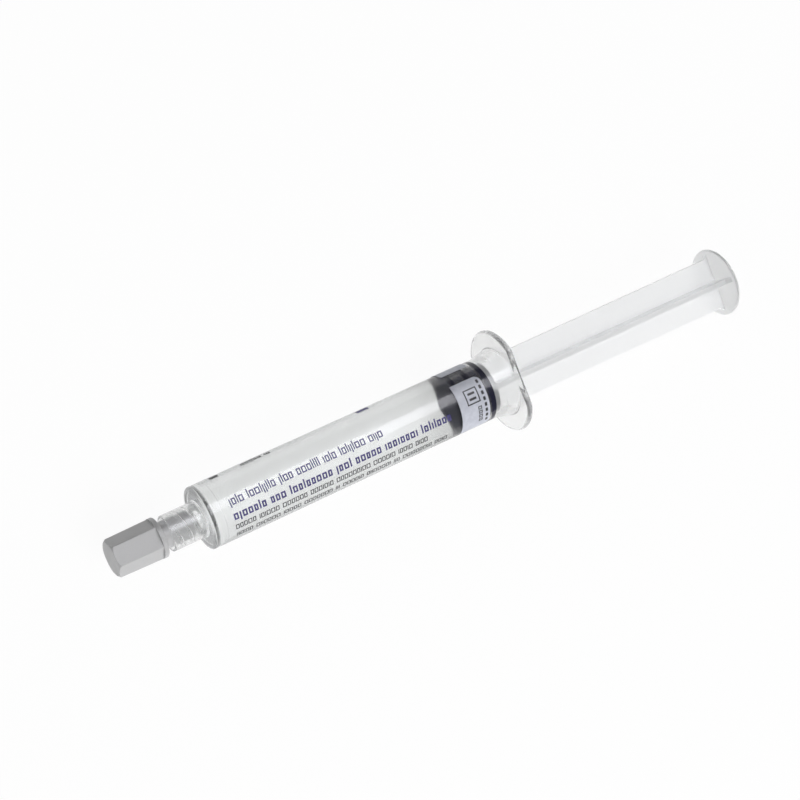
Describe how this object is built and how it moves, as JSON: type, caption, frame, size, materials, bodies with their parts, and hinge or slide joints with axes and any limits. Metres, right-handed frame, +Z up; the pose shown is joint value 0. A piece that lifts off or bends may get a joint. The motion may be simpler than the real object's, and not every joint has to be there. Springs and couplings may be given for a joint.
{
  "type": "pre-filled flush syringe",
  "caption": "Capped single-use flush syringe: clear luer-lock barrel filled with saline, oval finger flange, rubber stopper and cross-ribbed plunger rod.",
  "frame": {"origin": "under the middle of the whole length, on the syringe's axis in Y, at the level of the finger flange's lower flat", "axes": "+X along the syringe's axis from the capped nose to the thumb pad, +Y along the finger flange's long way, +Z up through the flange's flats"},
  "size_m": [0.1806, 0.0268, 0.0198],
  "materials": {
    "clear_barrel": "clear polypropylene, smooth",
    "grey_cap": "grey translucent plastic, fine satin",
    "dark_rubber": "charcoal rubber, lightly oiled",
    "white_rod": "milky polypropylene, satin",
    "label_film": "clear printed film",
    "liquid": "clear water-like liquid"
  },
  "bodies": {
    "barrel": {"barrel": "clear_barrel", "label": "label_film", "saline": "liquid"},
    "plunger": {"plunger_rod": "white_rod", "stopper": "dark_rubber"},
    "cap": {"tip_cap": "grey_cap"}
  },
  "joints": [
    {"name": "plunger_slide", "type": "slide", "parent": "barrel", "child": "plunger", "axis": [-1, 0, 0], "range_m": [0, 0.0655], "deforming": ["saline"]},
    {"name": "cap_pull", "type": "slide", "parent": "barrel", "child": "cap", "axis": [-1, 0, 0], "range_m": [0, 0.022]}
  ]
}
